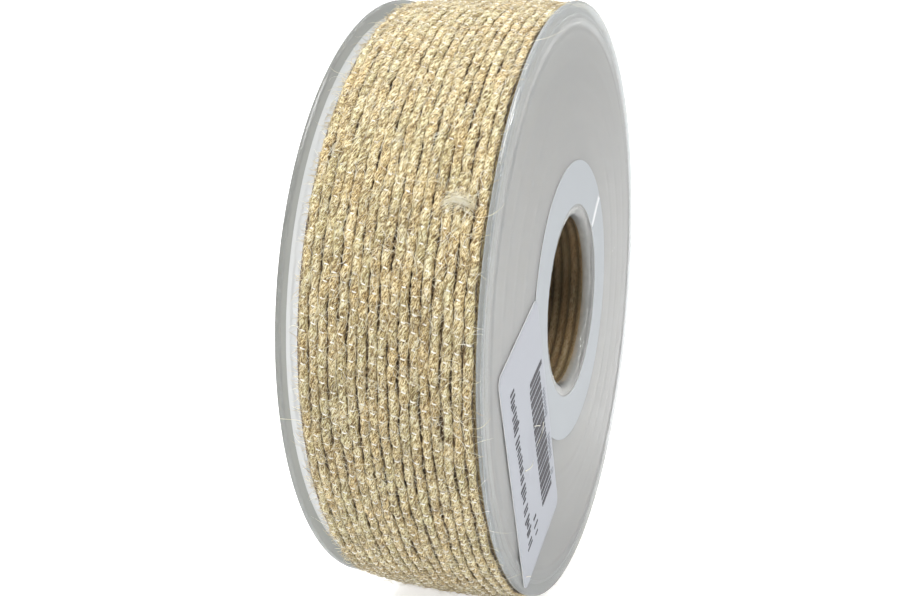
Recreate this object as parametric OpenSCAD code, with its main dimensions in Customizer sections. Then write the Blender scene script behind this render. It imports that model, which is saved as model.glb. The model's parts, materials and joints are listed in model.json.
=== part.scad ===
// Clear plastic ribbon spool: two push-together halves, a full roll of jute ribbon,
// a round paper sticker and a paper label.
// The spool's axis lies along Y. The label side faces -Y, and Z is up.
// The origin is on the axis, midway between the outer faces of the two flanges.

/* [Spool] */
// Diameter of both flanges
flange_d = 94; // [80:1:110]
// Width over both flanges
spool_w = 29.5; // [29.2:0.1:40]
// Thickness of a flange's rim
flange_t = 0.9; // [0.8:0.05:1.2]
// Thickness of a flange inside its rim
web_t = 0.75; // [0.6:0.05:0.8]
// Radial width of a flange's thicker rim
rim_w = 1.9; // [1.2:0.1:3]
// Diameter of the bore through the middle
bore_d = 27; // [22:0.5:28]
// Wall of each of the two tubes that slide together
tube_wall = 1; // [0.9:0.05:1.2]
// Radius of the rounded lip where the label side's flange runs into the bore
lip_r = 1.5; // [0.8:0.1:1.5]
// Play between the two tubes, on the radius
tube_play = 0.05; // [0.02:0.01:0.1]

/* [Ribbon] */
// Width of the ribbon
ribbon_w = 25; // [20:0.5:26]
// How far the roll stays below the flanges' edge, at the sides of the ribbon
roll_low = 0.4; // [0.4:0.1:12]
// How much the roll bulges between its sides
roll_crown = 0.3; // [0.1:0.05:0.3]
// Clearance between the roll and the label side's flange
side_gap = 0.3; // [0.3:0.05:1]
// Clearance between the roll and the tube that it is wound on
core_gap = 0.3; // [0.3:0.05:0.6]

/* [Paper] */
// Diameter of the round sticker
sticker_d = 45; // [38:0.5:60]
// Width of the hole in the round sticker
sticker_hole_d = 31.2; // [31:0.1:36]
// Thickness of the sticker's paper
paper_t = 0.1; // [0.08:0.01:0.2]
// Length of the label
label_l = 40; // [30:1:41]
// Height of the label
label_h = 20; // [14:1:20]
// Distance from the spool's axis to the label's inner long side
label_off = 18.2; // [17:0.1:18.4]
// How far the label's upper end lies past the line through the axis
label_up = 13; // [11.5:0.1:18]
// Slant of the label: the angle between its outward direction and level
label_slant = 21.5; // [0:0.5:45]

/* [Hidden] */
flange_r = flange_d / 2;
half_w = spool_w / 2;
bore_r = bore_d / 2;
// the inner tube belongs to the label half, the outer tube to the plain half
inner_tube_r = bore_r + tube_wall;
sleeve_bore_r = inner_tube_r + tube_play;
sleeve_r = sleeve_bore_r + tube_wall;
// the outer tube stops short of the label side's flange
sleeve_end_gap = 0.3;
// small lip at the free end of the inner tube
end_lip_r = 0.4;
// moulded rings in the flanges' outer faces: [share of the flange's radius, width, depth]
rings = [[0.92, 1.6, 0.2], [0.815, 2, 0.06], [0.71, 2, 0.06], [0.605, 2, 0.06]];
// the roll lies against the label side
roll_y0 = -half_w + flange_t + side_gap;
roll_in_r = sleeve_r + core_gap;
roll_side_r = flange_r - roll_low;
roll_top_r = roll_side_r + roll_crown;
// the tape that holds the ribbon's free end down
tape_l = 18;
tape_w = 14;
tape_t = 0.05;
tape_turn = 118;
// the tape's height above the middle of the roll
tape_lift = 0.02;
label_t = 2 * paper_t;
// clearance where the label's back is let in over the sticker
label_let_in = 0.05;
fine = 180;

// Turns a section drawn as (radius, height) about the spool's axis, height towards +Y.
module about_axis() {
    rotate([-90, 0, 0]) rotate_extrude($fn = fine) children();
}

// A ring drawn in the same section.
module ring_2d(inner, outer, low, high) {
    translate([inner, low]) square([outer - inner, high - low]);
}

// Section of a flange with its outer face at height 0: a web, and a thicker rim with a
// round edge.
module flange_2d(hole_r) {
    edge_r = flange_t / 2;
    difference() {
        union() {
            ring_2d(hole_r, flange_r - edge_r, 0, web_t);
            ring_2d(flange_r - rim_w, flange_r - edge_r, 0, flange_t);
            translate([flange_r - edge_r, edge_r]) circle(r = edge_r, $fn = 32);
        }
        for (ring = rings)
            ring_groove_2d(ring[0] * flange_r, ring[1], ring[2]);
    }
}

// A shallow round-bottomed groove: the arc that has this width at the face and this depth.
module ring_groove_2d(at_r, width, depth) {
    arc_r = (width * width / 4 + depth * depth) / (2 * depth);
    translate([at_r, depth - arc_r]) circle(r = arc_r, $fn = 96);
}

// Cuts the corner between a face at height 0 and a bore, leaving a rounded lip.
module lip_cut_2d(hole_r, radius) {
    difference() {
        translate([hole_r - 1, -1]) square([radius + 1, radius + 1]);
        translate([hole_r + radius, radius]) circle(r = radius, $fn = 64);
    }
}

// Half of the spool with the sticker and label: a flange with the inner tube, which
// reaches through to the other side.
module label_half() {
    color([0.88, 0.9, 0.92, 0.5])
    translate([0, -half_w, 0]) about_axis() difference() {
        union() {
            flange_2d(bore_r);
            ring_2d(bore_r, inner_tube_r, 0, spool_w);
        }
        lip_cut_2d(bore_r, lip_r);
        translate([0, spool_w]) mirror([0, 1]) lip_cut_2d(bore_r, end_lip_r);
    }
}

// The other half: a flange with the outer tube, which the ribbon is wound on.
module plain_half() {
    sleeve_l = spool_w - flange_t - sleeve_end_gap;
    color([0.86, 0.9, 0.9, 0.5])
    translate([0, half_w, 0]) mirror([0, 1, 0]) about_axis() union() {
        flange_2d(sleeve_bore_r);
        ring_2d(sleeve_bore_r, sleeve_r, 0, sleeve_l);
    }
}

// The wound ribbon, many turns of one strip, as the ring that it fills.
module ribbon_roll() {
    crown_r = (ribbon_w * ribbon_w / 4 + roll_crown * roll_crown) / (2 * roll_crown);
    color([0.78, 0.66, 0.42])
    translate([0, roll_y0, 0]) about_axis() intersection() {
        ring_2d(roll_in_r, flange_r, 0, ribbon_w);
        translate([roll_top_r - crown_r, ribbon_w / 2]) circle(r = crown_r, $fn = 720);
    }
}

// Clear adhesive tape over the ribbon's free end, at the back of the roll.
module end_tape() {
    tape_arc = tape_l / (roll_top_r * PI) * 180;
    middle_y = roll_y0 + ribbon_w / 2;
    color([0.9, 0.9, 0.86, 0.4])
    rotate([0, tape_turn, 0]) translate([0, middle_y - tape_w / 2, 0])
        rotate([-90, 0, 0]) rotate([0, 0, -tape_arc / 2])
            rotate_extrude(angle = tape_arc, $fn = fine)
                ring_2d(roll_top_r + tape_lift, roll_top_r + tape_lift + tape_t, 0, tape_w);
}

// Round paper sticker on the label side, with a hole for the bore.
module round_sticker() {
    color([0.95, 0.96, 0.98])
    translate([0, -half_w - paper_t, 0]) about_axis()
        ring_2d(sticker_hole_d / 2, sticker_d / 2, 0, paper_t);
}

// Printed paper label beside the bore. Its long inner side laps over the round sticker,
// so its back is let in there.
module paper_label() {
    corner_r = 1.5;
    color([0.96, 0.97, 0.99])
    difference() {
        translate([0, -half_w, 0]) rotate([0, -label_slant, 0])
            translate([-label_off - label_h / 2, 0, label_up - label_l / 2])
                rotate([90, 0, 0]) linear_extrude(height = label_t) rounded_2d(label_h, label_l, corner_r);
        translate([0, -half_w - paper_t, 0]) about_axis()
            ring_2d(0, sticker_d / 2 + label_let_in, 0, paper_t);
    }
}

// A rectangle about the origin with round corners.
module rounded_2d(across, along, radius) {
    square([across, along - 2 * radius], center = true);
    square([across - 2 * radius, along], center = true);
    for (sx = [-1, 1], sy = [-1, 1])
        translate([sx * (across / 2 - radius), sy * (along / 2 - radius)]) circle(r = radius, $fn = 32);
}

label_half();
plain_half();
ribbon_roll();
end_tape();
round_sticker();
paper_label();
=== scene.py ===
"""A spool of jute ribbon: two clear plastic halves, the wound ribbon, a sticker and a label."""

import json
import math

import bpy
import numpy as np
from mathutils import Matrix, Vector


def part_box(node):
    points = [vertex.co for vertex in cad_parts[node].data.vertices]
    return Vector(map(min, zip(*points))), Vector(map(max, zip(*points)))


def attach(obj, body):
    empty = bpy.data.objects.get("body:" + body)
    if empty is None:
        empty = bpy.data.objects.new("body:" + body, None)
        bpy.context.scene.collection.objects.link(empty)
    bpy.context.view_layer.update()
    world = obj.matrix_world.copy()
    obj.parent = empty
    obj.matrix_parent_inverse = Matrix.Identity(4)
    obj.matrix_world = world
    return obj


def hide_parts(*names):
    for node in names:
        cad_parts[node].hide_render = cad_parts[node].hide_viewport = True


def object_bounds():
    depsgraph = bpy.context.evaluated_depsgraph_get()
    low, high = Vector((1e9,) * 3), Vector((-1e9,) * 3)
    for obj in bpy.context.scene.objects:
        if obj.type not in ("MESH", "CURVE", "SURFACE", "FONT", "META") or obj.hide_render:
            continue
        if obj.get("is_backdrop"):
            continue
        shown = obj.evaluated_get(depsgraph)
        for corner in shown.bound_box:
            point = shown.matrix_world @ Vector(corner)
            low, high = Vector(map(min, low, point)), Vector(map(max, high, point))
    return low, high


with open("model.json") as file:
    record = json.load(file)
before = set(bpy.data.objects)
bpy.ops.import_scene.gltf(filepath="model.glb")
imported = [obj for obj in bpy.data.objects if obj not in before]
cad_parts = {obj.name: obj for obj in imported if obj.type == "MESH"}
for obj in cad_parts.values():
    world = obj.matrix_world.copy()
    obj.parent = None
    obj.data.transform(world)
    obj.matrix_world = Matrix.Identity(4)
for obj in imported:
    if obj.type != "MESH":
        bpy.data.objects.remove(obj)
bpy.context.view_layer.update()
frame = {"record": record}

# ---------------------------------------------------------------------------------------
# The label half of the spool: a flange and the inner tube, injection-moulded in one shot
# of clear polystyrene. The rim is thicker than the web and has a rounded edge, the outer
# face carries four turned rings, and the bore runs out of the face over a rounded lip.
mm = 0.001
half_low, half_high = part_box("label_half")
rim_r = half_high.z
half_w = -half_low.y
rim_t, web_t, rim_w = 0.9 * mm, 0.75 * mm, 1.9 * mm
tube_t, tube_play = 1.0 * mm, 0.05 * mm
bore_r = next(m for m in frame["record"]["mounts"] if m["name"] == "bore")["dims"]["r_mm"] * mm
lip_r, end_lip_r = 1.5 * mm, 0.4 * mm
rim_edge_r, step_r, root_r, tube_end_r = 0.42 * mm, 0.1 * mm, 0.3 * mm, 0.2 * mm
inner_tube_r = bore_r + tube_t
sleeve_bore_r = inner_tube_r + tube_play
sleeve_r = sleeve_bore_r + tube_t
# each ring: share of the rim's radius, width, depth
turned_rings = [(0.605, 2.0 * mm, 0.06 * mm), (0.71, 2.0 * mm, 0.06 * mm),
                (0.815, 2.0 * mm, 0.06 * mm), (0.92, 1.6 * mm, 0.2 * mm)]


def rounded_outline(corners, steps=6, support=0.08 * mm):
    """A closed section through (radius, y, rounding) corners, each turned into a curve.
    A point just outside each curve keeps the flats flat under smooth shading."""
    outline = []
    for i, (r, y, rounding) in enumerate(corners):
        here = np.array([r, y])
        back = np.array(corners[i - 1][:2]) - here
        on = np.array(corners[(i + 1) % len(corners)][:2]) - here
        back_l, on_l = np.linalg.norm(back), np.linalg.norm(on)
        reach = min(rounding, 0.45 * back_l, 0.45 * on_l)
        start, end = here + back / back_l * reach, here + on / on_l * reach
        outline.append(start + back / back_l * min(support, 0.04 * back_l))
        for t in np.linspace(0, 1, steps):
            outline.append((1 - t) ** 2 * start + 2 * t * (1 - t) * here + t * t * end)
        outline.append(end + on / on_l * min(support, 0.04 * on_l))
    return np.array(outline)


def loft(rings, closed_along=False):
    """Quads over rings of points, shape (rings, points round, 3), and the caps at its ends."""
    n, k = rings.shape[:2]
    i = np.arange(n if closed_along else n - 1)[:, None]
    j = np.arange(k)[None, :]
    near, far, turn = i * k, (i + 1) % n * k, (j + 1) % k
    quads = np.stack([near + j, near + turn, far + turn, far + j], -1).reshape(-1, 4)
    if closed_along:
        return quads, []
    return quads, [list(range(k))[::-1], list(range((n - 1) * k, n * k))]


def add_piece(name, points, quads, others=(), values=None, smooth=True):
    """A mesh object. Its faces are turned so that the closed mesh has its outside out.
    values are named numbers, one for each point, that its material reads."""
    points = np.asarray(points, float).reshape(-1, 3)
    quads = np.asarray(quads)
    a, b, c, d = (points[quads[:, i]] for i in range(4))
    inside_out = (np.cross(a, b) * c).sum() + (np.cross(a, c) * d).sum() < 0
    faces = quads.tolist() + [list(f) for f in others]
    if inside_out:
        faces = [f[::-1] for f in faces]
    mesh = bpy.data.meshes.new(name)
    mesh.from_pydata(points.tolist(), [], faces)
    for key, numbers in (values or {}).items():
        layer = mesh.attributes.new(key, "FLOAT", "POINT")
        layer.data.foreach_set("value", np.asarray(numbers, np.float32).ravel())
    if smooth:
        mesh.shade_smooth()
    piece = bpy.data.objects.new(name, mesh)
    bpy.context.scene.collection.objects.link(piece)
    return piece


def add_loft(name, rings, values=None, closed_along=False):
    quads, caps = loft(rings, closed_along)
    return add_piece(name, rings, quads, caps, values)


def polar(r, bearing, y):
    """Points at a distance from the spool's axis, a bearing round it, and a y."""
    return np.stack([r * np.cos(bearing), y + 0 * r * bearing, r * np.sin(bearing)], -1)


def turned_piece(name, corners, segments=288):
    """A section turned about the spool's axis."""
    outline = rounded_outline(corners)
    turn = np.linspace(0, 2 * math.pi, segments, endpoint=False)[:, None]
    rings = polar(outline[:, 0][None, :], turn, outline[:, 1][None, :])
    return add_loft(name, rings, closed_along=True)


def place(tree, kind, sockets=None, **settings):
    """Adds a shader node; a socket's value is a number, a colour or another node's output."""
    made = tree.nodes.new(kind)
    for key, value in settings.items():
        setattr(made, key, value)
    for key, value in (sockets or {}).items():
        if isinstance(value, bpy.types.NodeSocket):
            tree.links.new(value, made.inputs[key])
        else:
            made.inputs[key].default_value = value
    return made


def math_node(tree, operation, *values):
    return place(tree, "ShaderNodeMath", dict(enumerate(values)), operation=operation).outputs[0]


def colour_steps(tree, value, steps):
    """A colour ramp through (position, colour) steps."""
    ramp = place(tree, "ShaderNodeValToRGB", {"Fac": value})
    marks = ramp.color_ramp.elements
    while len(marks) < len(steps):
        marks.new(0.5)
    for mark, (position, colour) in zip(marks, steps):
        mark.position = position
        mark.color = (*colour, 1)
    return ramp.outputs["Color"]


def multiplied(tree, colour, by):
    return place(tree, "ShaderNodeMix", {0: 1.0, 6: colour, 7: by},
                 data_type="RGBA", blend_type="MULTIPLY").outputs[2]


def mapped(tree, value, low, high, to_low=0.0, to_high=1.0, **settings):
    """A value between low and high, brought to another range and held at its ends."""
    return place(tree, "ShaderNodeMapRange", {
        "Value": value, "From Min": low, "From Max": high, "To Min": to_low, "To Max": to_high},
        **settings).outputs[0]


def object_noise(tree, scale, detail, **sockets):
    """Noise fixed to the object, with scale features to the metre."""
    place_in = place(tree, "ShaderNodeTexCoord").outputs["Object"]
    return place(tree, "ShaderNodeTexNoise", {
        "Vector": place_in, "Scale": scale, "Detail": detail, **sockets}).outputs["Fac"]


def feed(tree, end, **outputs):
    """Links outputs to the inputs of a node."""
    for key, output in outputs.items():
        tree.links.new(output, end.inputs[key.replace("_", " ")])


def add_bump(tree, shader, height, strength, distance):
    bump = place(tree, "ShaderNodeBump", {
        "Strength": strength, "Distance": distance, "Height": height})
    feed(tree, shader, Normal=bump.outputs["Normal"])


def new_group(name, inputs, outputs):
    """An empty node group with float inputs; gives the group and its two ends."""
    group = bpy.data.node_groups.new(name, "ShaderNodeTree")
    for key, value in inputs.items():
        made = group.interface.new_socket(key, in_out="INPUT", socket_type="NodeSocketFloat")
        made.default_value = value
    for key, kind in outputs.items():
        group.interface.new_socket(key, in_out="OUTPUT", socket_type="NodeSocket" + kind)
    return group, group.nodes.new("NodeGroupInput"), group.nodes.new("NodeGroupOutput")


def use_group(tree, group, **sockets):
    named = {key.replace("_", " "): value for key, value in sockets.items()}
    return place(tree, "ShaderNodeGroup", named, node_tree=group)


def new_material(name, **sockets):
    """A Principled material; gives the material, its tree and its Principled node."""
    material = bpy.data.materials.new(name)
    material.use_nodes = True
    tree = material.node_tree
    shader = tree.nodes["Principled BSDF"]
    for key, value in sockets.items():
        shader.inputs[key.replace("_", " ")].default_value = value
    return material, tree, shader


def attribute(tree, name):
    return place(tree, "ShaderNodeAttribute", attribute_name=name).outputs["Fac"]


# Moulded plastic: flow marks that run out from the bore, faint scuffs, and dull patches.
moulding_marks, ends_in, ends_out = new_group(
    "moulding_marks", {"Dullness": 0.1, "Scuffing": 0.1, "Dimples": 0.0},
    {"Roughness": "Float", "Height": "Float"})
tree = moulding_marks
apart = place(tree, "ShaderNodeSeparateXYZ", {
    0: place(tree, "ShaderNodeTexCoord").outputs["Object"]})
radius = math_node(tree, "SQRT", math_node(
    tree, "ADD", math_node(tree, "MULTIPLY", apart.outputs["X"], apart.outputs["X"]),
    math_node(tree, "MULTIPLY", apart.outputs["Z"], apart.outputs["Z"])))
bearing = math_node(tree, "ARCTAN2", apart.outputs["Z"], apart.outputs["X"])
flow_place = place(tree, "ShaderNodeCombineXYZ", {
    0: math_node(tree, "MULTIPLY", radius, 90.0), 1: math_node(tree, "MULTIPLY", math_node(
        tree, "SINE", bearing), 2.4), 2: math_node(tree, "COSINE", bearing)}).outputs[0]
flow = place(tree, "ShaderNodeTexNoise", {
    "Vector": flow_place, "Scale": 1.6, "Detail": 2.0}).outputs["Fac"]
patches = object_noise(tree, 45.0, 3.0, Roughness=0.6)
scuffs = mapped(tree, object_noise(tree, 900.0, 2.0, Distortion=1.5), 0.6, 0.75)
dimples = object_noise(tree, 620.0, 1.0)
scuffing = math_node(tree, "MULTIPLY", scuffs, ends_in.outputs["Scuffing"])
ripples = math_node(tree, "MULTIPLY_ADD", flow, 0.8, math_node(tree, "MULTIPLY", patches, 0.3))
feed(tree, ends_out,
     Roughness=math_node(tree, "MULTIPLY_ADD", patches, ends_in.outputs["Dullness"], scuffing),
     Height=math_node(tree, "MULTIPLY_ADD", dimples, ends_in.outputs["Dimples"], ripples))


def clear_plastic(name, colour, shade, clearness, dullness, scuffing, waviness,
                  haze=0.0, dimples=0.0):
    """Clear or hazy plastic that lets lamps through to what lies behind it. haze is the
    share of light that it scatters through, from the lit side to the other."""
    material, tree, shader = new_material(
        name, Base_Color=(*colour, 1), Transmission_Weight=clearness, IOR=1.5,
        Specular_IOR_Level=0.5)
    marks = use_group(
        tree, moulding_marks, Dullness=dullness, Scuffing=scuffing, Dimples=dimples)
    feed(tree, shader, Roughness=marks.outputs["Roughness"])
    add_bump(tree, shader, marks.outputs["Height"], waviness, 0.4 * mm)
    lamp_ray = place(tree, "ShaderNodeLightPath").outputs["Is Shadow Ray"]
    through = place(tree, "ShaderNodeBsdfTransparent", {"Color": (*shade, 1)})
    body = shader.outputs["BSDF"]
    if haze:
        milky = place(tree, "ShaderNodeBsdfTranslucent", {"Color": (0.9, 0.92, 0.93, 1)})
        body = place(tree, "ShaderNodeMixShader", {
            0: haze, 1: body, 2: milky.outputs["BSDF"]}).outputs[0]
    mixed = place(tree, "ShaderNodeMixShader", {0: lamp_ray, 1: body, 2: through.outputs["BSDF"]})
    feed(tree, tree.nodes["Material Output"], Surface=mixed.outputs[0])
    return material


rim_shade, web_shade = (0.80, 0.82, 0.80), (0.78, 0.79, 0.80)
# painted shade: the plain half's rim gets a dark grey copy of the clear plastic, painted darker
# than the label half's rim
rim_painted_dark = clear_plastic(
    "clear_plastic_rim_painted_dark", (0.24, 0.245, 0.215), rim_shade, 0.92, 0.10, 0.12, 0.10, haze=0.28)
pale_rim = clear_plastic(
    "clear_plastic_pale_rim", (0.80, 0.85, 0.87), rim_shade, 0.90, 0.12, 0.12, 0.10, haze=0.15)
hazy_web = clear_plastic(
    "clear_plastic_web", (0.88, 0.90, 0.91), web_shade, 0.80, 0.24, 0.12, 0.08, haze=0.3)
# painted light: the plain half's web gets a whiter, hazier copy of the clear plastic, painted
# lighter than the label half's web
web_painted_light = clear_plastic(
    "clear_plastic_web_painted_light", (0.98, 0.99, 0.99), web_shade, 0.80, 0.24, 0.12, 0.08, haze=0.42)
# painted light: the bore's lip gets its own hazy copy of the clear plastic, painted whiter so that
# it shows pale
hazy_lip_painted_light = clear_plastic(
    "clear_plastic_lip_painted_light", (1.0, 1.0, 0.96), (0.85, 0.86, 0.85), 0.85, 0.04, 0.10, 1.00,
    haze=0.22, dimples=0.8)
clear_tube = clear_plastic(
    "clear_plastic_tube", (0.95, 0.955, 0.94), (0.88, 0.89, 0.88), 1.0, 0.03, 0.05, 0.04)
lip_depth, lip_reach = 3.2 * mm, 0.6 * mm


def ring_corners(out):
    """The corners of the turned rings in a face at y = out * half_w, from the bore outwards."""
    corners = []
    for share, width, depth in turned_rings:
        r = share * rim_r
        corners += [(r - width / 2, out * half_w, width / 5),
                    (r, out * (half_w - depth), width / 3),
                    (r + width / 2, out * half_w, width / 5)]
    return corners


def finish_half(piece, body, node, web, rim):
    """Hazy plastic for the web and the lip, clear for the tube, and the rim's own. Some of these
    are copies of the same plastic, painted lighter or darker as light and shade.
    """
    for material in (clear_tube, web, rim, hazy_lip_painted_light):
        piece.data.materials.append(material)
    for face in piece.data.polygons:
        r = math.hypot(face.center.x, face.center.z)
        at_lip = face.center.y < -half_w + lip_depth and r < inner_tube_r + lip_reach
        face.material_index = 3 if at_lip else int(r > sleeve_r) + int(r > rim_r - rim_w)
    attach(piece, body)
    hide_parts(node)


label_half = turned_piece("spool_label_side", [
    (bore_r, -half_w, lip_r), *ring_corners(-1),
    (rim_r, -half_w, rim_edge_r), (rim_r, -half_w + rim_t, rim_edge_r),
    (rim_r - rim_w, -half_w + rim_t, step_r), (rim_r - rim_w, -half_w + web_t, step_r),
    (inner_tube_r, -half_w + web_t, root_r), (inner_tube_r, half_w, tube_end_r),
    (bore_r, half_w, end_lip_r)])
finish_half(label_half, "label_side", "label_half", hazy_web, pale_rim)

# ---------------------------------------------------------------------------------------
# The plain half of the spool: the same clear polystyrene flange with the outer tube, which
# slides over the inner tube. The ribbon is wound on this tube, and it has no sticker.
sleeve_end_gap = 0.3 * mm
plain_half = turned_piece("spool_plain_side", [
    (sleeve_bore_r, half_w, tube_end_r), *ring_corners(1),
    (rim_r, half_w, rim_edge_r), (rim_r, half_w - rim_t, rim_edge_r),
    (rim_r - rim_w, half_w - rim_t, step_r), (rim_r - rim_w, half_w - web_t, step_r),
    (sleeve_r, half_w - web_t, root_r),
    (sleeve_r, -half_w + rim_t + sleeve_end_gap, tube_end_r),
    (sleeve_bore_r, -half_w + rim_t + sleeve_end_gap, tube_end_r)])
finish_half(plain_half, "plain_side", "plain_half", web_painted_light, rim_painted_dark)

# ---------------------------------------------------------------------------------------
# The wound ribbon: 10 m of 25 mm jute ribbon, wound on the outer tube in about 50 turns
# under light tension. The turns lie on each other, wander sideways a little, and the last
# ones bulge between the flanges. These are all the turns but the outermost.
roll_low, roll_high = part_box("ribbon_roll")
ribbon_w = roll_high.y - roll_low.y
ribbon_y = (roll_high.y + roll_low.y) / 2
turn_t = 0.606 * mm
warp_count = 17
warp_pitch = ribbon_w / (warp_count + 0.15)
free_end_turn = math.radians(332)
# the roll stands a little proud of the rims, and lies loose round the tube
outer_r = rim_r + 0.12 * mm
inner_r = sleeve_r + 0.3 * mm
bulge_h, sag_h = 0.55 * mm, 0.35 * mm
turns = (outer_r - turn_t - inner_r) / turn_t
chance = np.random.default_rng(25)


def waves(count, shortest, longest, height):
    """A smooth wandering function of a length or of turns: a sum of sines with random
    phases, whose waves lie between the shortest and the longest."""
    lengths = np.exp(chance.uniform(math.log(shortest), math.log(longest), count))
    phases = chance.uniform(0, 2 * math.pi, count)
    sizes = chance.uniform(0.5, 1, count)
    sizes *= height / sizes.sum()

    def wander(s):
        s = np.asarray(s, float)[..., None]
        return (sizes * np.sin(2 * math.pi * s / lengths + phases)).sum(-1)
    return wander


roll_waves = waves(5, 0.25, 1.3, 0.10 * mm)


def bearing_at(turns_in):
    return free_end_turn - 2 * math.pi * turns_in


def roll_r(turns_in, y):
    """Distance from the axis to the top of the ribbon, so many turns in from its free end.
    The roll hangs down a little and bulges between the ribbon's edges."""
    turns_in = np.asarray(turns_in, float)
    across = np.clip((y - ribbon_y) / (ribbon_w / 2), -1, 1)
    low_side = 0.5 - 0.5 * np.sin(bearing_at(turns_in))
    outermost = np.exp(-turns_in / 9)
    bulge = (sag_h * low_side + (1 - across ** 2) * (bulge_h + sag_h * low_side)) * outermost
    return outer_r - turn_t * turns_in + bulge + roll_waves(turns_in) * outermost


def length_to(turns_in):
    """Length of ribbon from the free end."""
    return 2 * math.pi * (outer_r * turns_in - turn_t * turns_in ** 2 / 2)


def on_roll(turns_in, y, drop):
    """Points at a depth below the ribbon's top, as x, y, z."""
    return polar(roll_r(turns_in, y) - drop, bearing_at(turns_in), y)


# painted shade: how deep the ribbon's edges and its faces count as lying, from 0 in the open to 1;
# the deeper, the darker their colour is painted
side_painted_shade, face_painted_shade = 0.57, 0.7


def wound_strip(name, first, last, per_turn, section, edge_wander):
    """A length of the ribbon as one closed strip. The section is (across, depth, depth of
    the valley there) points, across from -1 to 1. The values let the material follow the
    ribbon's own directions, and paint shade on what lies deep."""
    count = int((last - first) * per_turn) + 1
    turns_in = np.linspace(first, last, count)[:, None]
    across, depth, valley = (section[:, i][None, :] for i in range(3))
    side = edge_wander(turns_in[:, 0])[:, None]
    y = ribbon_y + across * ribbon_w / 2 + side
    rings = on_roll(turns_in, y, depth)
    along = length_to(turns_in) / mm
    # every warp yarn has a tone of its own
    yarn_number = np.round((across * ribbon_w / 2) / warp_pitch)
    tone = 0.5 + 0.31 * np.sin(yarn_number * 2.4 + 1.7 * np.sin(yarn_number ** 2 * 0.9))
    flat = np.ones_like(rings[..., 0])
    least_painted_shade = np.where(np.abs(across) > 0.98, side_painted_shade, face_painted_shade)
    return add_loft(name, rings, {
        "along": along * flat, "around": across * ribbon_w / 2 / mm * flat,
        "tone": tone * flat,
        "depth": np.clip(valley / (0.25 * mm), 0, 1) * 0.3 * flat + least_painted_shade})


def ribbed_section(top_ribs, bottom_ribs, thickness, rib_h, per_rib):
    """Section of the ribbon with its warp yarns as ribs on one or both faces."""
    steps = warp_count * per_rib
    across = np.linspace(-1, 1, steps + 1)
    rib = np.abs(np.cos(across * ribbon_w / 2 / warp_pitch * math.pi)) ** 0.5
    edge = np.clip((1 - np.abs(across)) / 0.03, 0, 1) ** 0.5
    valley = rib_h * (1 - rib)
    middle = thickness / 2
    top = np.stack([across, middle - (middle - valley * top_ribs) * edge, valley], -1)
    bottom = np.stack([across, middle + (middle - valley * bottom_ribs) * edge, valley], -1)
    top = top if top_ribs else top[::per_rib]
    bottom = bottom if bottom_ribs else bottom[::per_rib]
    return np.concatenate([top[:-1], bottom[::-1][:-1]])


jute_fibres, ends_in, ends_out = new_group(
    "jute_fibres", {"Along": 0, "Around": 0, "Tone": 0.5, "Twist": 0.5},
    {"Shade": "Float", "Height": "Float", "Blotch": "Float"})
tree = jute_fibres
along = ends_in.outputs["Along"]
wound = math_node(tree, "SUBTRACT", ends_in.outputs["Around"], math_node(
    tree, "MULTIPLY", along, ends_in.outputs["Twist"]))


def fibre_noise(along_scale, around_scale, tone_scale, detail):
    """Streaks that run along the twisted fibres; scales are per millimetre."""
    spot = place(jute_fibres, "ShaderNodeCombineXYZ", {
        0: math_node(jute_fibres, "MULTIPLY", along, along_scale),
        1: math_node(jute_fibres, "MULTIPLY", wound, around_scale),
        2: math_node(jute_fibres, "MULTIPLY", ends_in.outputs["Tone"], tone_scale)})
    return place(jute_fibres, "ShaderNodeTexNoise", {
        "Vector": spot.outputs[0], "Scale": 1.0, "Detail": detail, "Roughness": 0.6}).outputs["Fac"]


broad = fibre_noise(0.9, 3.6, 57, 3.0)
fine_streaks = fibre_noise(2.0, 7.5, 91, 2.0)
specks = fibre_noise(3.4, 9.0, 13, 1.0)
slow = fibre_noise(0.11, 0.25, 37, 1.0)
shade = math_node(tree, "MULTIPLY_ADD", slow, 0.12, -0.32)
for streaks, weight in ((broad, 0.60), (fine_streaks, 0.78), (specks, 0.54)):
    shade = math_node(tree, "MULTIPLY_ADD", streaks, weight, shade)
fine_height = math_node(tree, "MULTIPLY", fine_streaks, 0.4)
feed(tree, ends_out, Shade=shade, Blotch=fibre_noise(0.16, 0.3, 23, 1.0),
     Height=math_node(tree, "MULTIPLY_ADD", broad, 0.6, fine_height))

jute_colours = [(0.54, (0.16, 0.10, 0.040)), (0.63, (0.40, 0.29, 0.125)),
                (0.70, (0.63, 0.505, 0.25)), (0.77, (0.89, 0.775, 0.46)),
                (0.85, (0.99, 0.94, 0.72))]
blotches = [(0.36, (0.93, 0.965, 0.95)), (0.50, (1.0, 1.0, 1.0)), (0.66, (1.0, 0.94, 0.86))]
# painted shade: colours that darken the jute by its depth value, in the gaps between yarns, on
# their lower sides, and on the turns beneath
painted_depth_shades = [(0.0, (1, 1, 1)), (0.45, (0.80, 0.74, 0.66)),
                (0.75, (0.25, 0.185, 0.125)), (1.0, (0.07, 0.05, 0.035))]
# painted light: the first turn, which shows brown through the tube, has a lighter, warmer copy of
# the jute's colours
first_turn_painted_light_colours = [(0.45, (0.34, 0.21, 0.115)), (0.70, (0.85, 0.60, 0.35)),
                 (0.95, (1.0, 0.84, 0.58))]
yarn_shades = [(0.2, (0.62, 0.58, 0.55)), (0.8, (1, 1, 1))]
# painted shade: dark lines painted in the valleys between the first turn's yarns
painted_valley_shades = [(0.70, (1, 1, 1)), (0.78, (0.72, 0.66, 0.60)), (0.92, (0.16, 0.12, 0.10))]


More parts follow.
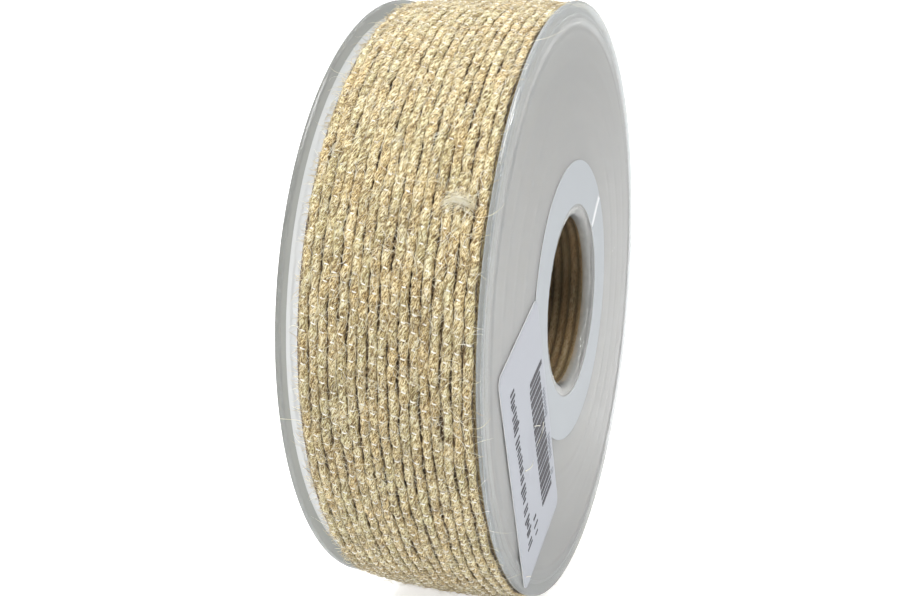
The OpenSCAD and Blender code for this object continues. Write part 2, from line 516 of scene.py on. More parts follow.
def jute_material(name, colours, twist, bump_depth, shades):
    """Spun jute. shades are colour steps that darken it by a named value of the mesh: a yarn's own
    tone, or painted shade by its depth.
    """
    material, tree, shader = new_material(
        name, Roughness=0.72, Specular_IOR_Level=0.35, Sheen_Weight=0.25, Sheen_Roughness=0.5)
    fibres = use_group(tree, jute_fibres, Along=attribute(tree, "along"),
                       Around=attribute(tree, "around"), Tone=attribute(tree, "tone"),
                       Twist=twist)
    colour = colour_steps(tree, fibres.outputs["Shade"], colours)
    colour = multiplied(tree, colour, colour_steps(tree, fibres.outputs["Blotch"], blotches))
    for key, steps in shades:
        colour = multiplied(tree, colour, colour_steps(tree, attribute(tree, key), steps))
    feed(tree, shader, Base_Color=colour)
    add_bump(tree, shader, fibres.outputs["Height"], 1.0, bump_depth)
    return material


jute = jute_material("jute_yarn", jute_colours, 0.36, 0.30 * mm, [("depth", painted_depth_shades)])
inner_jute = jute_material("jute_yarn_first_turn", first_turn_painted_light_colours, 0.06, 0.15 * mm,
                           [("tone", yarn_shades), ("depth", painted_valley_shades)])


def finish_ribbon(piece, material):
    piece.data.materials.append(material)
    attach(piece, "ribbon")
    return piece


wander_aside = waves(9, 0.6, 5.0, 0.45 * mm)
least_offset = -0.22 * mm


def turn_offsets(turns_in):
    """How far the turns have slipped aside, less towards the flange they lie against."""
    return np.maximum(wander_aside(turns_in), least_offset)


plain_section = np.array([
    (-1, 0.26, 0), (-0.985, 0.12, 0), (-0.95, 0.03, 0), (0, 0.0, 0), (0.95, 0.03, 0),
    (0.985, 0.12, 0), (1, 0.26, 0), (0.985, 0.42, 0), (0.95, 0.5, 0), (0, 0.53, 0),
    (-0.95, 0.5, 0), (-0.985, 0.42, 0)]) * np.array([1, mm, mm])
wound_ribbon = finish_ribbon(wound_strip(
    "ribbon_wound", 2, turns - 1, 144, plain_section, turn_offsets), jute)
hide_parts("ribbon_roll")
under_turn = finish_ribbon(wound_strip(
    "ribbon_turn_under_outermost", 1, 2, 360,
    ribbed_section(True, False, 0.55 * mm, 0.3 * mm, 6), turn_offsets), jute)
first_turn = finish_ribbon(wound_strip(
    "ribbon_innermost_turn", turns - 1, turns, 200,
    ribbed_section(False, True, 0.55 * mm, 0.25 * mm, 6), turn_offsets), inner_jute)

# ---------------------------------------------------------------------------------------
# The outermost turn's warp: seventeen soft single yarns of twisted jute, side by side.
# Hand-spun yarn: thick and thin, wandering, and pinched wherever the weft crosses it.
weft_rows = 258
row_pitch = 2 * math.pi * outer_r / weft_rows
yarn_half_w, yarn_half_h = 0.665 * mm, 0.46 * mm
yarn_samples, yarn_sides = 1700, 16
# way round a yarn, in millimetres, for its material
yarn_round = 3.4
twist_pitch, twist_strands = 9.5 * mm, (3, 4, 5, 6)
outer_turn_l = length_to(1.03)
# where the yarns have fluffed up: the middle of the stretch, and its width
fluffed_at, fluffed_w = math.radians(143), math.radians(26)
yarns = []


def turns_for(s):
    """Turns in from the free end for a length of ribbon in the outermost turns."""
    return s / (2 * math.pi * (outer_r - turn_t / 4))


def fluffed(s):
    """1 in the middle of the fluffed stretch, falling off to 0 beyond it."""
    return np.exp(-((bearing_at(turns_for(s)) % (2 * math.pi) - fluffed_at) / fluffed_w) ** 2)


class Yarn:
    """One warp yarn: where its middle runs, and how thick it is, along the ribbon."""

    def __init__(self, number):
        self.number = number
        self.nominal = ribbon_y + (number - (warp_count - 1) / 2) * warp_pitch
        self.drift = waves(7, 6 * mm, 60 * mm, 0.32 * mm)
        self.thickness = waves(9, 1.6 * mm, 12 * mm, 0.36)
        self.lift = waves(5, 6 * mm, 40 * mm, 0.10 * mm)
        self.twist_phase = chance.uniform(0, 2 * math.pi)
        self.twist_slip = waves(4, 12 * mm, 60 * mm, 1.1)
        self.strands = [(k, chance.uniform(0, 2 * math.pi), waves(4, 1.2 * mm, 6 * mm, 0.05))
                        for k in twist_strands]
        self.tone = chance.uniform(0, 1)

    def middle(self, s):
        at_edge = self.number in (0, warp_count - 1)
        side_room = 0.3 * mm if at_edge else warp_pitch
        return self.nominal + np.clip(self.drift(s), -side_room, side_room)

    def clumps(self, s):
        """Uneven fibre on the yarn's skin: random lumps, drawn out along the twist."""
        lumps = chance.normal(0, 1, (len(s), yarn_sides))
        for _ in range(2):
            lumps = lumps + np.roll(lumps, 1, 0) + np.roll(lumps, -1, 0)
        lumps = lumps + 0.5 * np.roll(lumps, 1, 1) + 0.5 * np.roll(lumps, -1, 1)
        turned = np.round(yarn_sides * s / twist_pitch).astype(int)
        sides = (np.arange(yarn_sides)[None, :] - turned) % yarn_sides
        return np.take_along_axis(lumps / lumps.std(), sides, 1)

    def crossed(self, s):
        """1 where the weft passes over the yarn, -1 where it passes under."""
        return np.cos(math.pi * (s / row_pitch - 0.5 + self.number))

    def size(self, s):
        """Thickness, as a share of the usual: evener and fuller where the yarn is fluffed."""
        over = np.clip(self.crossed(s), 0, 1) ** 4
        uneven = 1 + self.thickness(s) * (1 - 0.35 * fluffed(s))
        return uneven * (0.985 + 0.085 * fluffed(s)) * (1 - 0.07 * over)

    def top(self, s):
        """Depth of the yarn's top below the ribbon's."""
        over = np.clip(self.crossed(s), 0, 1) ** 4
        return 0.09 * mm * over + self.lift(s) + 0.10 * mm


warp = [Yarn(number) for number in range(warp_count)]
for yarn in warp:
    s = np.linspace(chance.uniform(0.2, 1.4) * mm, outer_turn_l, yarn_samples)[:, None]
    round_it = np.linspace(0, 2 * math.pi, yarn_sides, endpoint=False)[None, :]
    helix = round_it - 2 * math.pi * s / twist_pitch + yarn.twist_slip(s[:, 0])[:, None]
    bumpy = 1 + sum((0.010 + ridge(s)) * np.cos(k * helix + phase)
                    for k, phase, ridge in yarn.strands) + 0.065 * yarn.clumps(s)
    size = yarn.size(s)
    tip = np.clip((s - s[0]) / (0.8 * mm), 0.25, 1) ** 0.5
    side = np.cos(round_it) * yarn_half_w * size * bumpy * tip
    rise = np.sin(round_it) * yarn_half_h * size * bumpy * tip
    y = yarn.middle(s) + side
    turns_in = turns_for(s)
    middle_drop = yarn.top(s) + yarn_half_h
    r = roll_r(turns_in, yarn.middle(s)) - middle_drop + rise
    rings = polar(r, bearing_at(turns_in), y)
    flat = np.ones_like(r)
    # painted shade: each yarn is painted darker on its lower side, and the first yarn, which lies
    # in the shade of the label side's flange, darker still
    depth = 0.42 - 0.80 * np.sin(round_it) + (0.30 if yarn.number == 0 else 0)
    piece = add_loft("ribbon_yarn_%02d" % (yarn.number + 1), rings, {
        "along": s / mm * flat, "around": round_it / (2 * math.pi) * yarn_round * flat,
        "tone": yarn.tone * flat, "depth": np.clip(depth, 0, 1) * flat})
    yarns.append(finish_ribbon(piece, jute))

# ---------------------------------------------------------------------------------------
# The weft: one clear nylon thread that goes over and under the yarns and back again at the
# ribbon's edges, woven in rows about a millimetre apart. Only its passes over a yarn show.
thread_r = 0.12 * mm
# points of a pass: across it in yarn pitches, height over a yarn and under one in
# millimetres, and whether the thread is bare there, where its material paints a glint
pass_shape = [(-0.32, -0.56, -0.62, 0), (-0.12, 0.105, -0.70, 1),
              (0.12, 0.105, -0.70, 1), (0.32, -0.56, -0.62, 0)]
row_slant = 0.32
# how deep the thread lies where the yarn has fluffed up over it
fluffed_depth = 0.24 * mm
# where it turns back, inside the ribbon's edges
turn_inset, turn_depth = 0.75 * mm, 0.66 * mm


def weft_path(first_row, last_row):
    """The thread's middle line over some rows, as x, y, z, and where it lies bare."""
    lengths, places, drops, bare = [], [], [], []
    for row in range(first_row, last_row):
        s_row = (row + 0.5) * row_pitch + chance.normal(0, 0.05) * mm
        order = warp if row % 2 == 0 else warp[::-1]
        way = 1 if row % 2 == 0 else -1
        for yarn in order:
            over = (row + yarn.number) % 2 == 0
            middle, crest = float(yarn.middle(s_row)), float(yarn.top(s_row))
            sunk = fluffed_depth * float(fluffed(s_row)) * chance.uniform(0.4, 1.2)
            crest += (sunk + chance.uniform(0, 0.05) * mm) * over
            slant = row_slant * (1 if over else -1) * chance.uniform(0.6, 1.4)
            for step, high, low, crown in pass_shape:
                offset = way * step * warp_pitch
                lengths.append(s_row + slant * offset)
                places.append(middle + offset)
                drops.append(crest - (high if over else low) * mm)
                bare.append(crown * over)
        end = ribbon_y + way * (ribbon_w / 2 - turn_inset)
        lengths += [s_row + 0.2 * row_pitch, s_row + 0.8 * row_pitch]
        places += [end, end]
        drops += [turn_depth, turn_depth]
        bare += [0, 0]
    lengths, places, drops = map(np.array, (lengths, places, drops))
    return on_roll(turns_for(lengths), places, drops), np.array(bare)


def tube_along(path, radius, sides, taper=False):
    """Rings of points round a line of points. radius may change along it."""
    n = len(path)
    ahead = np.gradient(path, axis=0)
    ahead /= np.linalg.norm(ahead, axis=1)[:, None] + 1e-12
    out = path * np.array([1, 0, 1])
    out /= np.linalg.norm(out, axis=1)[:, None] + 1e-12
    aside = np.cross(ahead, out)
    weak = np.linalg.norm(aside, axis=1) < 0.1
    aside[weak] = np.cross(ahead[weak], np.array([0.0, 1.0, 0.0]))
    aside /= np.linalg.norm(aside, axis=1)[:, None] + 1e-12
    up = np.cross(aside, ahead)
    turn = np.linspace(0, 2 * math.pi, sides, endpoint=False)
    size = np.broadcast_to(radius, n)[:, None, None]
    if taper:
        size = size * (1 - 0.85 * np.linspace(0, 1, n) ** 3)[:, None, None]
    return path[:, None, :] + size * (
        aside[:, None, :] * np.cos(turn)[None, :, None]
        + up[:, None, :] * np.sin(turn)[None, :, None])


nylon, tree, shader = new_material(
    "nylon_thread", Base_Color=(1.0, 0.975, 0.90, 1), Transmission_Weight=0.05, IOR=1.53,
    Specular_IOR_Level=0.8, Coat_Weight=0.5, Coat_Roughness=0.1,
    Emission_Color=(1.0, 0.97, 0.88, 1))
bare_glint_and_shade = attribute(tree, "bare")
uneven = object_noise(tree, 2200.0, 1.0)
# painted glint: the thread glows where it is bare, over a yarn, and is painted dark brown as shade
# where it dips between and under the yarns
feed(tree, shader,
     Base_Color=colour_steps(tree, bare_glint_and_shade, [
         (0.2, (0.22, 0.17, 0.11)), (0.8, (1.0, 0.975, 0.90))]),
     Emission_Strength=math_node(tree, "MULTIPLY", bare_glint_and_shade, 0.19),
     Roughness=math_node(tree, "MULTIPLY_ADD", uneven, 0.3, 0.08))

thread_sides, half_rows = 5, weft_rows // 2
for part, (first_row, last_row) in enumerate([(0, half_rows), (half_rows, weft_rows)]):
    path, bare = weft_path(first_row, last_row)
    rings = tube_along(path, thread_r, thread_sides)
    piece = add_loft("ribbon_weft_%d" % (part + 1), rings,
                     {"bare": np.repeat(bare, thread_sides)})
    finish_ribbon(piece, nylon)

# ---------------------------------------------------------------------------------------
# Loose jute fibres: ends that stand out of the spun yarn everywhere, longer pale ones that
# have worked loose and lie across it, and one tuft where a slub has come open.
pale_colours = [(0.0, (0.26, 0.17, 0.08)), (0.3, (0.55, 0.42, 0.22)),
                (0.6, (0.80, 0.70, 0.44)), (0.85, (0.95, 0.89, 0.68)), (1.0, (0.99, 0.96, 0.84))]
loose_jute, tree, shader = new_material(
    "loose_jute_fibre", Roughness=0.5, Specular_IOR_Level=0.5, Sheen_Weight=0.2,
    Sheen_Roughness=0.4)
grain = math_node(tree, "MULTIPLY_ADD", object_noise(tree, 700.0, 1.0), 0.4, -0.2)
tone = math_node(tree, "ADD", attribute(tree, "tone"), grain)
feed(tree, shader, Base_Color=colour_steps(tree, tone, pale_colours))

# how far out along y a fibre may lie between the flanges, and the radius at which it may pass
# over one
room_y = half_w - rim_t - 0.12 * mm
pass_r, over_r = rim_r - 0.35 * mm, rim_r + 0.07 * mm


def clear_of_flanges(line):
    """Keeps a fibre's line between the flanges, or above their edges where it crosses them."""
    r = np.hypot(line[:, 0], line[:, 2])
    beyond = np.abs(line[:, 1]) > room_y
    over = np.maximum.accumulate(beyond) & (r > pass_r)
    raised = np.where(over & (r < over_r), over_r / r, 1.0)
    line = line * np.stack([raised, np.ones_like(raised), raised], -1)
    y = line[:, 1]
    line[:, 1] = np.where(beyond & ~over, np.sign(y) * room_y, y)
    return line


def loose_fibre(s, y, length, heading, bend, lift, steps, sunk):
    """A fibre's line from a spot on the roll. heading is its angle from the yarns' direction,
    bend how far it turns, lift how high its middle or its end stands, and sunk how deep it
    starts."""
    t = np.linspace(0, 1, steps)
    sway = chance.normal(0, 0.25)
    angle = heading + bend * t + sway * np.sin(math.pi * t * chance.uniform(1, 2.5))
    step = length / (steps - 1)
    ds = np.concatenate([[0], np.cumsum(np.cos(angle[:-1]) * step)])
    dy = np.concatenate([[0], np.cumsum(np.sin(angle[:-1]) * step)])
    if chance.uniform() < 0.55:
        high = np.sin(math.pi * t) ** 0.8
    else:
        high = t ** 1.6
    return clear_of_flanges(on_roll(turns_for(s + ds), y + dy, sunk - high * (lift + sunk)))


def fibre_piece(name, fibres):
    """Joins (line, radius, tone) fibres into one mesh of three-sided tubes."""
    points, quads, caps, tones, first = [], [], [], [], 0
    for line, radius, tone_value in fibres:
        rings = tube_along(line, radius, 3, taper=True)
        q, c = loft(rings)
        points.append(rings.reshape(-1, 3))
        quads.append(q + first)
        caps += [[i + first for i in cap] for cap in c]
        tones.append(np.full(len(line) * 3, tone_value))
        first += len(line) * 3
    piece = add_piece(name, np.concatenate(points), np.concatenate(quads), caps,
                      {"tone": np.concatenate(tones)})
    return finish_ribbon(piece, loose_jute)


def spot(least=-0.49, most=0.49, way=1):
    """A random place on the outermost turn: its length, and its y between two shares of the
    ribbon's width from the middle. way is 1 or -1, for the side."""
    s = chance.uniform(0, outer_turn_l * 0.985)
    return s, ribbon_y + way * chance.uniform(least, most) * ribbon_w


def between(least, most):
    return lambda: chance.uniform(least, most)


def about(middle, spread):
    return lambda: middle + chance.normal(0, spread)


def scatter(fibres, count, at, length, heading, bend, lift, steps, radius, tone, sunk=0.25):
    """Adds random fibres. at to lift, radius and tone draw a value each; sizes are in mm."""
    for _ in range(count):
        s, y = at()
        line = loose_fibre(
            s, y, length() * mm, heading(), bend(), lift() * mm, steps, sunk * mm)
        fibres.append((line, radius() * mm, tone()))


lying, standing, straying = [], [], []
lying_pieces, lying_count = 3, 5400
any_way = between(-math.pi, math.pi)
scatter(lying, lying_pieces * lying_count, spot, between(0.7, 2.2), about(-0.5, 0.75),
        about(0, 0.6), between(-0.04, 0.16), 5, between(0.028, 0.052),
        lambda: chance.beta(0.8, 0.7), sunk=0.14)
scatter(standing, 2600, spot, between(1.0, 4), any_way, about(0, 1.0), between(0.1, 0.7), 7,
        between(0.016, 0.03), between(0.2, 1))
scatter(straying, 170, spot, between(3, 9), any_way, about(0, 0.8), between(0.2, 1.0), 14,
        between(0.024, 0.04), between(0.6, 1), sunk=0.1)
# ends that reach out over the edges of the flanges
for way, count in ((1, 8), (-1, 14)):
    scatter(straying, count, lambda: spot(0.40, 0.49, way), between(1.5, 6),
            lambda: way * chance.uniform(0.4, 2.7), about(0, 0.8), between(0.3, 0.9), 14,
            between(0.016, 0.028), between(0.7, 1), sunk=0.05)
# fuzz along the edge beside the plain flange
scatter(straying, 1500, lambda: spot(0.465, 0.495), between(0.5, 1.7), about(math.pi / 2, 0.8),
        about(0, 0.8), between(-0.3, 0.2), 6, between(0.025, 0.045), between(0.2, 0.8),
        sunk=0.35)
# the frayed end of the ribbon
for yarn in warp:
    scatter(straying, 14, lambda: (
        chance.uniform(0.3, 1.5) * mm, yarn.nominal + chance.normal(0, 0.25) * mm),
        between(1.0, 3.4), about(math.pi, 0.35), about(0, 0.4), lambda: -0.2, 6,
        between(0.024, 0.04), between(0.3, 1), sunk=0.35)
# the open slub: an arch of pale fibre, combed across towards the label side
slub_s, slub_y, slub_w, slub_h = outer_turn_l / 1.03 * 0.499, -7.0 * mm, 5.6 * mm, 1.2 * mm
slub = []
for thick in [True] * 34 + [False] * 60:
    t = np.linspace(chance.uniform(0, 0.4), chance.uniform(0.65, 1), 12)
    spread = (chance.normal(0, 0.16) if thick else chance.normal(0.1, 0.6)) * mm
    arch = slub_h * chance.uniform(0.7, 1.2) * np.sin(math.pi * t ** chance.uniform(0.6, 1.0))
    s = slub_s + arch + spread + 0.2 * mm * np.sin(7 * t + chance.uniform(0, 6)) * (not thick)
    high = chance.uniform(0.0, 0.4) * mm * np.sin(math.pi * (t - t[0]) / (t[-1] - t[0]))
    y = slub_y - slub_w * t + chance.normal(0, 0.15) * mm
    line = clear_of_flanges(on_roll(turns_for(s), y, 0.10 * mm - high))
    radius = chance.uniform(0.02, 0.045 if thick else 0.03) * mm
    slub.append((line, radius, chance.uniform(0.8, 1.0)))
fuzz = [fibre_piece("ribbon_fuzz_lying_%d" % (i + 1), lying[i * lying_count:(i + 1) * lying_count])
        for i in range(lying_pieces)]
fuzz += [fibre_piece(name, fibres) for name, fibres in (
    ("ribbon_fuzz_standing", standing), ("ribbon_stray_fibres", straying),
    ("ribbon_open_slub", slub))]

# ---------------------------------------------------------------------------------------
# Clear adhesive tape over the ribbon's free end: thin film, pressed on by hand, so it
# follows the yarns loosely and has a few ripples.
tape_low, tape_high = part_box("end_tape")
tape_half_l, film_t, film_lift = 9 * mm, 0.06 * mm, 0.10 * mm
s = np.linspace(-tape_half_l, tape_half_l, 60)[:, None]
y = np.linspace(tape_low.y, tape_high.y, 40)[None, :]
turns_in = turns_for(np.abs(s)) * np.sign(s)
bearing = bearing_at(turns_in)
# past the ribbon's end it comes down by one turn
step_down = np.where(s < 0, turn_t, 0) * np.clip(-s / (2.5 * mm), 0, 1)
ripple = 0.05 * mm * np.sin(y / mm * 2.1 + 2 * np.sin(s / mm * 0.6)) * np.cos(s / mm * 0.5)
r = roll_r(np.clip(turns_in, 0, 1), y) + film_lift - step_down + ripple
rings = np.concatenate([polar(r + film_t, bearing, y), polar(r, bearing, y)[:, ::-1]], 1)
end_tape = add_loft("ribbon_end_tape", rings)
tape_film = clear_plastic(
    "clear_tape_film", (0.95, 0.95, 0.92), (0.92, 0.92, 0.9), 0.95, 0.10, 0.1, 0.3)
end_tape.data.materials.append(tape_film)
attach(end_tape, "ribbon")
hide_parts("end_tape")

# ---------------------------------------------------------------------------------------
# The round paper sticker on the label side: glossy white paper, die-cut, with its hole
# run over the bore's lip, and one crease where it was pressed down.
sticker_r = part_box("round_sticker")[1].z
sticker_hole_r = bore_r + lip_r + 0.5 * mm
paper_t, cut_w = 0.1 * mm, 0.05 * mm
crease_at, crease_h, crease_w = math.radians(41), 0.30 * mm, 0.42 * mm
crease_middle_r, crease_end_r = 19 * mm, sticker_r - 1 * mm
segments = 360
turn = math.pi - np.linspace(0, 2 * math.pi, segments, endpoint=False)[:, None]
off = (crease_at - turn + math.pi) % (2 * math.pi) - math.pi
rows_r = np.array([sticker_hole_r, sticker_hole_r + cut_w,
                   *np.linspace(sticker_hole_r + 0.4 * mm, sticker_r - 0.5 * mm, 12),
                   sticker_r - cut_w, sticker_r])[None, :]
crease = crease_h * np.exp(-(off * crease_middle_r / crease_w) ** 2) * (rows_r < crease_end_r)
ripple = 0.02 * mm * np.sin(3 * (math.pi - turn) + rows_r / mm)
front = -half_w - paper_t - crease + ripple
rings = np.concatenate([
    polar(rows_r, turn, front), polar(rows_r, turn, -half_w)[:, ::-1]], 1)
# painted highlight: where the crease stands, the paper is painted near white
crease_glare_mask = np.concatenate([crease, 0 * crease], 1) / crease.max()
round_sticker = add_loft("sticker_round", rings, {"crease_glare_mask": crease_glare_mask}, closed_along=True)

paper_fibres, ends_in, ends_out = new_group(
    "paper_fibres", {"Mottling": 0.1}, {"Shade": "Float", "Height": "Float"})
tree = paper_fibres
mottle, pulp = object_noise(tree, 160.0, 4.0, Roughness=0.7), object_noise(tree, 2600.0, 2.0)
feed(tree, ends_out, Shade=math_node(tree, "MULTIPLY", mottle, ends_in.outputs["Mottling"]),
     Height=math_node(tree, "MULTIPLY_ADD", mottle, 0.3, pulp))


def paper_material(name, light, dark, roughness, mottling, crease=False):
    material, tree, shader = new_material(name, Roughness=roughness, Specular_IOR_Level=0.3)
    fibres = use_group(tree, paper_fibres, Mottling=mottling)
    colour = colour_steps(tree, fibres.outputs["Shade"], [(0.0, light), (1.0, dark)])
    if crease:
        # painted highlight: the crease is painted near white, as glare along it
        crease_glare = mapped(tree, attribute(tree, "crease_glare_mask"), 0.1, 0.7)
        colour = place(tree, "ShaderNodeMix", {
            0: crease_glare, 6: colour, 7: (0.95, 0.96, 0.97, 1)}, data_type="RGBA").outputs[2]
    feed(tree, shader, Base_Color=colour)
    add_bump(tree, shader, fibres.outputs["Height"], 0.25, 0.02 * mm)
    return material


paper_edge = paper_material(
    "paper_cut_edge", (0.93, 0.94, 0.95), (0.85, 0.86, 0.87), 0.7, 0.3)


def cover_paper(piece, printed):
    """The printed paper on a piece's faces, coloured with painted shade, and bare white paper on
    its cut edges.
    """
    piece.data.materials.append(printed)
    piece.data.materials.append(paper_edge)
    for face in piece.data.polygons:
        face.material_index = int(abs(face.normal.y) < 0.5)


# painted shade: the sticker's white paper is coloured grey-blue, as it looks in shade on the label
# side
sticker_paper = paper_material(
    "sticker_paper", (0.50, 0.53, 0.555), (0.42, 0.45, 0.475), 0.5, 0.3, crease=True)
cover_paper(round_sticker, sticker_paper)
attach(round_sticker, "label_side")
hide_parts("round_sticker")

# ---------------------------------------------------------------------------------------
# The paper label: a printed thermal-paper label stuck beside the bore, over the sticker's
# edge. It carries a plain pattern of bars and short strokes in place of its print.
label_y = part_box("paper_label")[0].y
label_slant = math.radians(21.5)
label_inner, label_wide = 18.2 * mm, 20 * mm
label_top, label_long = 13 * mm, 40 * mm
out_way = np.array([-math.cos(label_slant), -math.sin(label_slant)])
down_way = np.array([math.sin(label_slant), -math.cos(label_slant)])


def label_point(out, down, y):
    """A point of the label: out from the spool's axis, and down along the label's length."""
    x = out * out_way[0] + down * down_way[0]
    z = out * out_way[1] + down * down_way[1]
    return np.stack([x, y + 0 * x, z], -1)


corner_r = 1.5 * mm
outline = []
for cx, cy, start in ((1, 1, 0), (-1, 1, 90), (-1, -1, 180), (1, -1, 270)):
    for a in np.radians(np.linspace(start, start + 90, 8)):
        outline.append((cx * (label_wide / 2 - corner_r) + corner_r * math.cos(a),
                        cy * (label_long / 2 - corner_r) + corner_r * math.sin(a)))
outline = np.array(outline)
middle = np.array([label_inner + label_wide / 2, label_long / 2 - label_top])
# its back lies on the sticker, and on the plastic beyond the sticker's edge
back_on_sticker, back_on_plastic = 0.09 * mm, 0.195 * mm
rings = []
for scale in (0.0, 0.25, 0.5, 0.75, 0.96, 1.0):
    o, d = (middle + outline * scale).T
    wave = 0.03 * mm * np.sin(o / mm * 0.5) * np.sin(d / mm * 0.3)
    rings.append(label_point(o, d, label_y + wave + (0.02 * mm if scale == 1 else 0)))
for scale in (1.0, 0.96, 0.5, 0.0):
    o, d = (middle + outline * scale).T
    on_sticker = np.hypot(o, d) < sticker_r + 0.2 * mm
    rings.append(label_point(
        o, d, label_y + np.where(on_sticker, back_on_sticker, back_on_plastic)))
paper_label = add_loft("label_paper", np.array(rings))
# painted shade: the label's white paper is coloured grey-blue, as it looks in shade on the label
# side
label_paper = paper_material(
    "label_paper", (0.525, 0.545, 0.59), (0.45, 0.465, 0.505), 0.6, 0.25)
cover_paper(paper_label, label_paper)
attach(paper_label, "label_side")
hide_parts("paper_label")


def strokes(marks):
    """Print as thin flat bars, each (out, down, size out, size down)."""
    points, quads = [], []
    for out, down, wide, long in marks:
        first = len(points)
        for level in (-0.045 * mm, -0.01 * mm):
            for a, b in ((-1, -1), (1, -1), (1, 1), (-1, 1)):
                points.append(label_point(
                    np.array(out + a * wide / 2), np.array(down + b * long / 2),
                    label_y + level))
        quads += [[first + i for i in face] for face in (
            (0, 1, 2, 3), (7, 6, 5, 4), (0, 4, 5, 1), (1, 5, 6, 2), (2, 6, 7, 3), (3, 7, 4, 0))]
    return np.array(points), np.array(quads)


marks = []
# the bars run across the label; the first is longer, and lies farther in
bars_out, bars_w, bars_first, bars_last = 23.4 * mm, 5.4 * mm, -2.7 * mm, 20.6 * mm
down = bars_first
while down < bars_last:
    bar = chance.choice([0.5, 0.8, 0.8, 1.1]) * mm
    taller = 0.9 * mm if down == bars_first else 0
    marks.append((bars_out - taller, down + bar / 2, bars_w + taller, bar))
    down += bar + chance.choice([0.32, 0.36, 0.42]) * mm
# faint ticks beside the bars, in three groups
first_faint = len(marks)
ticks_out, tick_pitch = 19.7 * mm, 0.62
for first_tick, last_tick in ((2.7, 7.7), (11.7, 16.4), (18.7, 19.4)):
    for down in np.arange(first_tick, last_tick, tick_pitch) * mm:
        marks.append((ticks_out, down, chance.uniform(0.7, 1.2) * mm, 0.22 * mm))
last_faint = len(marks)
# a long row of strokes, and a short one beside its lower end
stroke_pitch, left_out = 0.76, 0.16
for out, first_tick, last_tick in ((33.6, -7.2, 22.0), (30.1, 19.2, 22.3)):
    for down in np.arange(first_tick, last_tick, stroke_pitch) * mm:
        if chance.uniform() < left_out:
            continue
        marks.append((out * mm + chance.normal(0, 0.12) * mm,
                      down + chance.normal(0, 0.06) * mm,
                      chance.uniform(1.2, 2.5) * mm, chance.uniform(0.28, 0.46) * mm))
mark_points, mark_quads = strokes(marks)
points_each = len(mark_points) // len(marks)
faint = np.zeros(len(mark_points))
faint[points_each * first_faint:points_each * last_faint] = 0.5
print_piece = add_piece(
    "label_print", mark_points, mark_quads, values={"faint": faint}, smooth=False)
ink, tree, shader = new_material("label_ink", Roughness=0.55, Specular_IOR_Level=0.3)
worn = math_node(tree, "ADD", object_noise(tree, 3000.0, 2.0), attribute(tree, "faint"))
feed(tree, shader, Base_Color=colour_steps(tree, worn, [
    (0.35, (0.035, 0.034, 0.04)), (0.7, (0.13, 0.125, 0.14)), (1.0, (0.27, 0.28, 0.33))]))
print_piece.data.materials.append(ink)
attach(print_piece, "label_side")

# stray jute fibres that cling to the label: out, down, heading, bend and length of each
clinging = []
for out, down, heading, bend, length in (
        (26.4, 4.5, 2.6, -0.25, 3.9), (21.4, 7.4, 0.1, 0.25, 4.9),
        (32.8, 7.8, 2.7, 0.2, 4.9), (37.5, 24.5, 2.6, -0.5, 2.6)):
    t = np.linspace(0, 1, 14)
    angle = heading + bend * t
    outs = out * mm + np.cumsum(np.cos(angle)) * length * mm / 14
    downs = down * mm + np.cumsum(np.sin(angle)) * length * mm / 14
    line_y = label_y - 0.11 * mm - 0.35 * mm * np.sin(math.pi * t)
    clinging.append((label_point(outs, downs, line_y), 0.075 * mm, 1.0))
label_lint = fibre_piece("label_clinging_fibres", clinging)
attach(label_lint, "label_side")

# ---------------------------------------------------------------------------------------
# The stage: the spool stands on its roll of ribbon on a white table in a white room. A large
# soft lamp hangs above it, a little to the camera's left, and a small one on the label side.
lowest = min(min(v.co.z for v in yarn.data.vertices) for yarn in yarns) - 0.1 * mm
floor_mesh = bpy.data.meshes.new("table_top")
far = 30.0
floor_mesh.from_pydata([(x, y, lowest) for x, y in (
    (-far, -far), (far, -far), (far, far), (-far, far))], [], [(0, 1, 2, 3)])
floor = bpy.data.objects.new("table_top", floor_mesh)
bpy.context.scene.collection.objects.link(floor)
table, tree, shader = new_material("white_table", Base_Color=(0.8, 0.8, 0.8, 1), Roughness=0.8,
                                   Emission_Color=(1, 1, 1, 1))
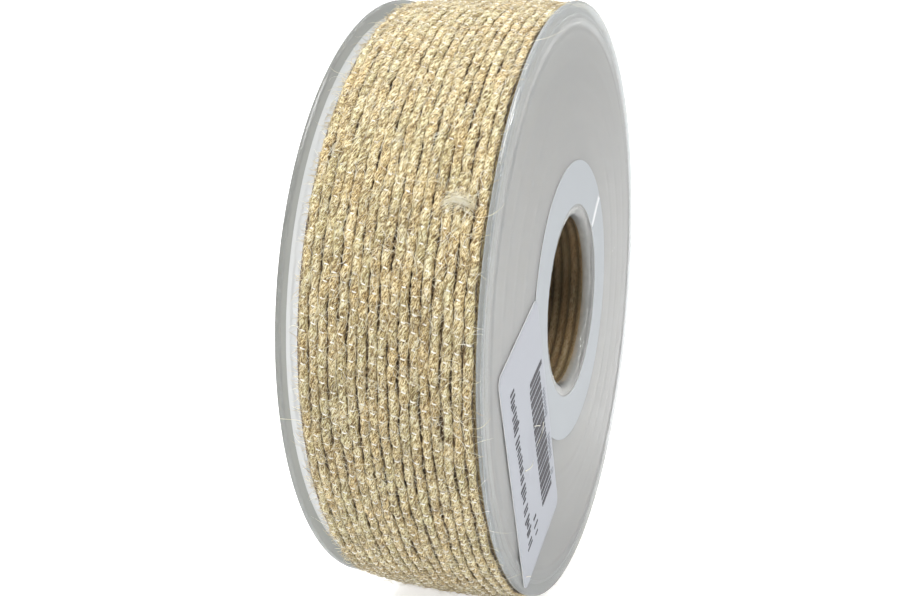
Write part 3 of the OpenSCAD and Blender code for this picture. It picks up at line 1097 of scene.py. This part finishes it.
# the table glows a little, and more to the camera, so that it looks white all over
seen = place(tree, "ShaderNodeLightPath").outputs["Is Camera Ray"]
feed(tree, shader, Emission_Strength=math_node(tree, "MULTIPLY_ADD", seen, 0.47, 0.18))
floor.data.materials.append(table)
floor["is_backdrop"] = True

# how bright the room is on the camera's side and beyond the spool, and how much more above
near_side, far_side, ceiling = 0.37, 0.80, 0.44
world = bpy.data.worlds.new("white_room")
bpy.context.scene.world = world
world.use_nodes = True
tree = world.node_tree
towards = place(tree, "ShaderNodeSeparateXYZ", {
    0: place(tree, "ShaderNodeTexCoord").outputs["Generated"]})
behind = mapped(tree, towards.outputs["X"], -0.3, 0.6, near_side, far_side,
                interpolation_type="SMOOTHSTEP")
above = mapped(tree, towards.outputs["Z"], 0.35, 0.95, 0.0, ceiling,
               interpolation_type="SMOOTHSTEP")
seen = place(tree, "ShaderNodeLightPath").outputs["Is Camera Ray"]
strength = math_node(tree, "ADD", math_node(tree, "ADD", behind, above), seen)
background = tree.nodes["Background"]
background.inputs["Color"].default_value = (1, 1, 1, 1)
feed(tree, background, Strength=strength)


def aim_at(thing, target):
    """Points a lamp or camera at a spot, and adds it to the scene."""
    away = Vector(target) - thing.location
    thing.rotation_euler = away.to_track_quat("-Z", "Y").to_euler()
    bpy.context.scene.collection.objects.link(thing)


def soft_lamp(name, place_at, size, power):
    """A round white lamp that points at the middle of the spool."""
    lamp = bpy.data.lights.new(name, "AREA")
    lamp.shape, lamp.size, lamp.energy = "DISK", size, power
    holder = bpy.data.objects.new(name, lamp)
    holder.location = place_at
    aim_at(holder, (0, 0, 0))


soft_lamp("lamp_above", (-0.17, 0.12, 0.67), 0.40, 4.15)
soft_lamp("lamp_label_side", (-0.04, -0.38, 0.57), 0.07, 0.72)

camera_data = bpy.data.cameras.new("camera")
camera_data.lens, camera_data.sensor_width = 52.748, 36
camera = bpy.data.objects.new("camera", camera_data)
camera.location = (-0.200886, -0.064421, 0.049914)
aim_at(camera, (0, 0.006021, -0.001274))
camera_data.clip_start = 0.01
bpy.context.scene.camera = camera
bpy.context.scene.view_settings.view_transform = "Standard"

low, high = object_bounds()
